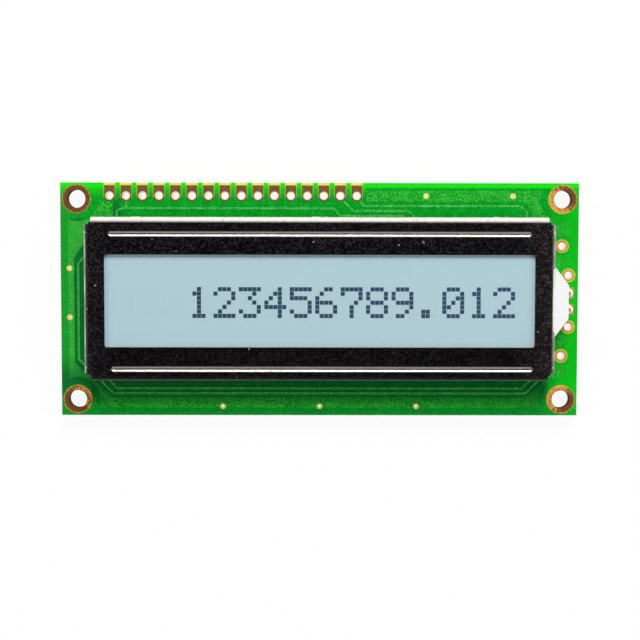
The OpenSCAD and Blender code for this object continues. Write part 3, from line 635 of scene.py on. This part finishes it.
def black_resin():
    """Glossy black potting resin, with slow ripples, dust and a matt tide line at its rim."""
    f = Finish("black_resin")
    slow = f.noise(0.3, 3.0, 0.5)
    fine = f.noise(5.0, 2.0, 0.6)
    colour = f.blend(fine, tone(14, 14, 16), tone(34, 33, 35))
    dust = f.fall(f.cells(0.8), 0.02, 0.06) * f.rise(f.noise(0.5), 0.55, 0.65)
    colour = f.blend(dust * 0.6, colour, tone(150, 148, 144))
    rim = f.rise(f.z, board_low.z - 0.28, board_low.z - 0.05)
    rough = slow * 0.1 + 0.12 + rim * 0.3
    return f.surface(colour, rough, f.bump(slow + fine * 0.1, 0.05), Coat_Weight=0.3)


def chip_body(name, first, second, rough):
    """Fired ceramic or glaze of a chip component, slightly uneven."""
    f = Finish(name)
    fine = f.noise(6.0, 3.0, 0.6)
    colour = f.blend(fine, first, second)
    return f.surface(colour, fine * 0.15 + rough, f.bump(fine, 0.012), Coat_Weight=0.2)


FINISHES = {
    "board_green": board_coat(),
    "coated_copper": coated_copper(
        "coated_pour", tone(0, 138, 26), tone(50, 198, 56), tone(100, 214, 92)),
    "bare_copper": plain_copper(),
    "gold_plate": gold_plate(),
    "black_steel": black_paint(),
    "polarizer_film": display_face(),
    "display_glass": cut_glass("display_glass", tone(150, 196, 178), tone(196, 226, 214)),
    "cell_seal": pale_plastic("cell_seal", tone(120, 118, 112), tone(150, 148, 142), 0.5),
    "port_plug": pale_plastic("port_plug", tone(206, 186, 120), tone(222, 206, 150), 0.2, 0.5),
    "liquid_crystal": cut_glass("liquid_crystal", tone(176, 196, 200), tone(206, 220, 222)),
    "rear_film": pale_plastic("rear_film", tone(166, 180, 186), tone(186, 198, 202), 0.35, 0.2),
    "strip_rubber": strip_rubber(),
    "white_plastic": pale_plastic("white_plastic", tone(238, 238, 234), tone(250, 250, 247), 0.4),
    "white_film": housing_film(),
    "clear_acrylic": cut_glass("clear_acrylic", tone(222, 238, 240), tone(240, 250, 250)),
    "lamp_resin": pale_plastic("lamp_resin", tone(236, 226, 176), tone(248, 242, 206), 0.25, 0.4),
    "tinned_lead": bright_metal("tinned_lead", tone(176, 174, 170), tone(226, 224, 220), 0.22, 0.008),
    "solder": bright_metal("solder", tone(226, 222, 214), tone(252, 250, 246), 0.3, 0.01, metallic=0.3),
    "silicon": chip_body("silicon", tone(86, 88, 98), tone(110, 112, 124), 0.1),
    "black_resin": black_resin(),
    "resistor_glaze": chip_body("resistor_glaze", tone(18, 18, 20), tone(44, 43, 44), 0.3),
    "capacitor_ceramic": chip_body("capacitor_ceramic", tone(150, 112, 74), tone(182, 142, 98), 0.45),
}

NODE_FINISHES = {
    "mounting_rings": ring_copper(),
    "header_pads": pad_copper(),
    "terminal_rings": terminal_copper(),
    "vias": via_gilt(),
    "front_tracks": coated_copper(
        "coated_track", tone(30, 158, 52), tone(92, 204, 96), tone(140, 220, 130), shade=0.45),
}

for part in frame["record"]["subparts"]:
    finish = NODE_FINISHES.get(part["node"], FINISHES[part["material_slot"]])
    mesh = nodes[part["node"]].data
    mesh.materials.clear()
    mesh.materials.append(finish)


# ---- New pieces ----

def piece(name, points, faces, material, smooth=True):
    """Puts points in metres and faces into a mesh at the origin that rides on the part."""
    mesh = bpy.data.meshes.new(name)
    mesh.from_pydata(points.tolist(), [], faces)
    mesh.update()
    mesh.polygons.foreach_set("use_smooth", np.full(len(faces), smooth))
    mesh.materials.append(material)
    made = bpy.data.objects.new(name, mesh)
    bpy.context.scene.collection.objects.link(made)
    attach(made, "root")
    return made


DIGITS = {
    "0": (" ### ", "#   #", "#  ##", "# # #", "##  #", "#   #", " ### "),
    "1": ("  #  ", " ##  ", "  #  ", "  #  ", "  #  ", "  #  ", " ### "),
    "2": (" ### ", "#   #", "    #", "   # ", "  #  ", " #   ", "#####"),
    "3": ("#####", "   # ", "  #  ", "   # ", "    #", "#   #", " ### "),
    "4": ("   # ", "  ## ", " # # ", "#  # ", "#####", "   # ", "   # "),
    "5": ("#####", "#    ", "#### ", "    #", "    #", "#   #", " ### "),
    "6": ("  ## ", " #   ", "#    ", "#### ", "#   #", "#   #", " ### "),
    "7": ("#####", "#   #", "    #", "   # ", "  #  ", "  #  ", "  #  "),
    "8": (" ### ", "#   #", "#   #", " ### ", "#   #", "#   #", " ### "),
    "9": (" ### ", "#   #", "#   #", " ####", "    #", "   # ", " ##  "),
    ".": ("     ", "     ", "     ", "     ", "     ", " ##  ", " ##  "),
}
READING = "123456789.012"


def display_dots():
    """Lit dots: a flat square block at each set place of a five by seven dot font.

    A dot's left edge is the row's start, plus its character's place times the cell pitch,
    plus its column times the dot pitch. Its lower edge counts rows up from the bottom.
    """
    lit = np.array([[[dot == "#" for dot in line] for line in DIGITS[sign]] for sign in READING])
    sign, line, column = np.nonzero(lit)
    left = ROW_LEFT + sign * CELL_PITCH + column * DOT_PITCH
    low = ROW_MIDDLE + (DOT_ROWS / 2 - 1 - line) * DOT_PITCH
    base = film_high.z
    corner_x = np.array([0, 1, 1, 0, 0, 1, 1, 0]) * DOT_W
    corner_y = np.array([0, 0, 1, 1, 0, 0, 1, 1]) * DOT_W
    corner_z = np.array([0, 0, 0, 0, 1, 1, 1, 1]) * DOT_RISE
    points = np.stack([
        left[:, None] + corner_x, low[:, None] + corner_y,
        np.broadcast_to(base + corner_z, (len(left), 8)),
    ], axis=-1).reshape(-1, 3) * MM
    block = np.array([
        [4, 5, 6, 7], [0, 3, 2, 1], [0, 1, 5, 4], [1, 2, 6, 5], [2, 3, 7, 6], [3, 0, 4, 7],
    ])
    faces = (np.arange(len(left))[:, None, None] * 8 + block).reshape(-1, 4)
    return piece("display_dots", points, faces.tolist(), lit_dot(), smooth=False)


def fan_and_band_faces(rings, turns):
    """Faces over two poles and the rings between them; the poles are the first two points."""
    ring, turn = np.meshgrid(np.arange(rings - 1), np.arange(turns), indexing="ij")
    here, after = 2 + ring * turns + turn, 2 + ring * turns + (turn + 1) % turns
    quads = np.stack([here, after, after + turns, here + turns], axis=-1).reshape(-1, 4)
    turn = np.arange(turns)
    after = (turn + 1) % turns
    first = np.stack([np.zeros(turns, int), 2 + after, 2 + turn], axis=-1)
    start = 2 + (rings - 1) * turns
    last = np.stack([np.ones(turns, int), start + turn, start + after], axis=-1)
    return quads, first, last


def resin_cap(name, node, phase):
    """A poured cap of resin over a die, which replaces the plain dome of the same size.

    At share t of the radius R and angle a, let w be the mean of sin(2 a + p) and
    sin(3 a + 2 p), for a phase p. The point lies at t R (1 - 0.05 t^2 (1 - w)) from the
    axis, and at D (1 - t^2)^0.55 (1 - 0.03 t (1 - w)) under the board, for a depth D. The last
    ring lies on the board, and a flat fan closes it.
    """
    low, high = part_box(node)
    radius, depth = (high.x - low.x) / 2, high.z - low.z
    middle_x, middle_y = (low.x + high.x) / 2, (low.y + high.y) / 2
    rings, turns = 40, 96
    first_share, roundness = 0.04, 0.55
    drawn_in, sunk_in = 0.05, 0.03
    share = np.sin(np.linspace(first_share, 1.0, rings) * np.pi / 2)[:, None]
    angle = np.linspace(0, 2 * np.pi, turns, endpoint=False)[None, :]
    wave = (np.sin(2 * angle + phase) + np.sin(3 * angle + 2 * phase)) / 2
    reach = share * radius * (1 - drawn_in * share ** 2 * (1 - wave))
    drop = depth * (1 - share ** 2) ** roundness * (1 - sunk_in * share * (1 - wave))
    points = np.stack([
        middle_x + reach * np.cos(angle), middle_y + reach * np.sin(angle), high.z - drop,
    ], axis=-1).reshape(-1, 3)
    poles = np.array([[middle_x, middle_y, low.z], [middle_x, middle_y, high.z]])
    quads, first, last = fan_and_band_faces(rings, turns)
    faces = [*quads[:, ::-1].tolist(), *first[:, ::-1].tolist(), *last[:, ::-1].tolist()]
    points = np.concatenate([poles, points])
    made = piece(name, points, faces, FINISHES["black_resin"])
    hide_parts(node)


display_dots()
resin_cap("controller_resin_cap", "controller_cap", 0.4)
resin_cap("driver_resin_cap", "driver_cap", 2.1)


# ---- Floor, light and camera ----

def floor():
    """A wide floor under the tabs, white to the eye and in reflections, with a soft shadow."""
    half, level = 3.0, cad_bounds[0][2]
    sides = ((-1, -1), (1, -1), (1, 1), (-1, 1))
    mesh = bpy.data.meshes.new("floor")
    mesh.from_pydata([(half * x, half * y, level) for x, y in sides], [], [[0, 1, 2, 3]])
    f = Finish("floor")
    ray = f.add("LightPath", output="Is Camera Ray")
    seen = ray.math("MAXIMUM", ray.output("Is Glossy Ray"))
    seen = seen.math("MAXIMUM", ray.output("Is Transmission Ray"))
    white = f.add("Emission", None, {"Color": (1, 1, 1, 1), "Strength": 1.0})
    matt = f.add("BsdfDiffuse", None, {"Color": (0.93, 0.93, 0.93, 1)})
    shader = f.add("MixShader", None, {0: seen * 0.93, 1: matt, 2: white})
    f.add("OutputMaterial", None, {"Surface": shader})
    mesh.materials.append(f.material)
    made = bpy.data.objects.new("floor", mesh)
    bpy.context.scene.collection.objects.link(made)


def softbox(name, azimuth, elevation, distance, width, height, level):
    """A soft lamp that faces the part. The azimuth turns right from +Y, in degrees.

    The level is the share of a white upward surface's full brightness that it gives, and the
    power follows from it: level times pi squared times distance squared over the elevation's sine.
    """
    turn, lift = math.radians(azimuth), math.radians(elevation)
    away = Vector((math.sin(turn) * math.cos(lift), math.cos(turn) * math.cos(lift), math.sin(lift)))
    lamp = bpy.data.lights.new(name, "AREA")
    lamp.shape, lamp.size, lamp.size_y = "RECTANGLE", width, height
    lamp.energy = level * math.pi ** 2 * distance ** 2 / math.sin(lift)
    made = bpy.data.objects.new(name, lamp)
    made.location = away * distance
    made.rotation_euler = away.to_track_quat("Z", "Y").to_euler()
    bpy.context.scene.collection.objects.link(made)


def world(horizon, zenith):
    """A pale studio: white to the eye, but it lights the part more from low down than above."""
    made = bpy.data.worlds.new("studio")
    made.use_nodes = True
    t = NodeTree(made.node_tree)
    where = t.add("TexCoord", output="Generated")
    height = t.add("SeparateXYZ", None, {0: where}, output=2)
    climb = {"Value": height, "From Min": 0.25, "From Max": 0.75, "To Min": horizon, "To Max": zenith}
    strength = t.add("MapRange", {"interpolation_type": "SMOOTHSTEP"}, climb)
    seen = t.add("LightPath", output="Is Camera Ray")
    strength = seen + strength * (1 - seen)
    sky = t.add("Background", None, {"Color": (1, 1, 1, 1), "Strength": strength})
    t.add("OutputWorld", None, {"Surface": sky})
    bpy.context.scene.world = made


def camera():
    """The viewer's place above the module, a little towards its header edge."""
    lens = bpy.data.cameras.new("camera")
    lens.lens, lens.sensor_width = 78.18, 36.0
    lens.clip_start, lens.clip_end = 0.01, 20.0
    made = bpy.data.objects.new("camera", lens)
    made.location = (-1.05 * MM, 9.82 * MM, 215 * MM)
    made.rotation_euler = Euler([math.radians(a) for a in (-3.458, -0.289, 0.092)], "XYZ")
    bpy.context.scene.collection.objects.link(made)
    bpy.context.scene.camera = made


floor()
world(horizon=0.55, zenith=0.07)
softbox("key", azimuth=6, elevation=46, distance=0.7, width=0.34, height=0.24, level=0.65)
softbox("right", azimuth=95, elevation=35, distance=0.7, width=0.22, height=0.22, level=0.12)
softbox("left", azimuth=-95, elevation=35, distance=0.7, width=0.22, height=0.22, level=0.12)
softbox("lower", azimuth=180, elevation=40, distance=0.7, width=0.25, height=0.2, level=0.035)
camera()
bpy.context.scene.view_settings.view_transform = "Standard"
